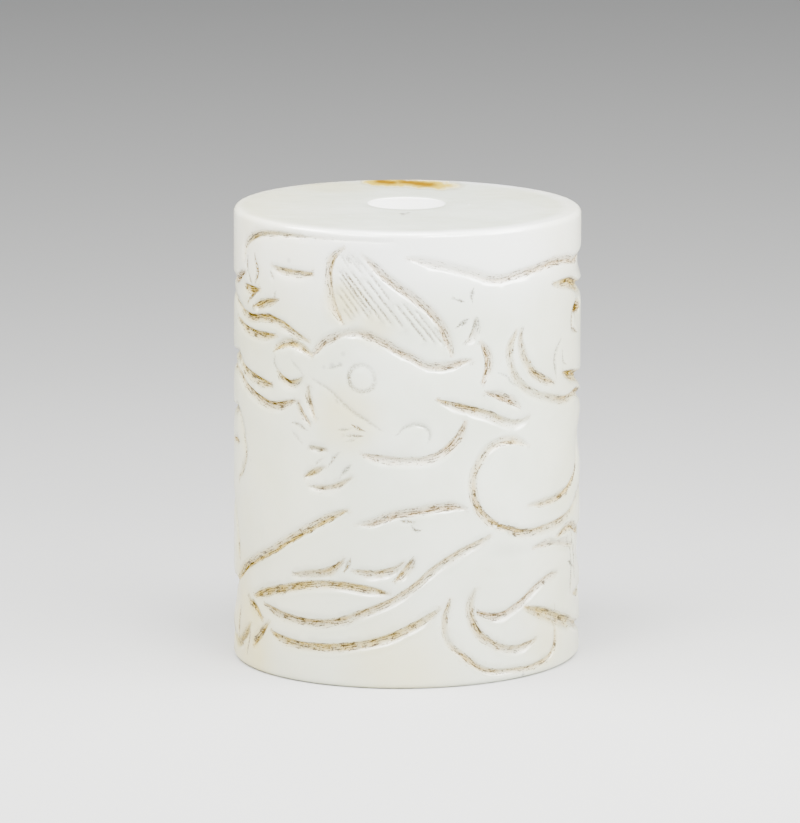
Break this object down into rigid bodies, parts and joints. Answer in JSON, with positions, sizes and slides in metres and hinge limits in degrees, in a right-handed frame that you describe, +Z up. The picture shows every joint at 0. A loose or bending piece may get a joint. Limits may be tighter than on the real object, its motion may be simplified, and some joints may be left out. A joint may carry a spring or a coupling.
{
  "type": "carved cylinder bead",
  "caption": "Upright cylinder bead of white jade with a straight bore for a cord, its side carved in low relief with a dragon's head, streaming mane, clawed leg and cloud scrolls.",
  "frame": {"origin": "centre of the flat base, on the surface that the bead stands on", "axes": "+Z up along the bore, -Y to the front, where the dragon's head is, +X to the right as seen in the picture"},
  "size_m": [0.0275, 0.0272, 0.0356],
  "materials": {
    "jade": "polished, with ochre-brown stain in the cuts"
  },
  "bodies": {
    "root": {"bead": "jade"}
  },
  "joints": []
}
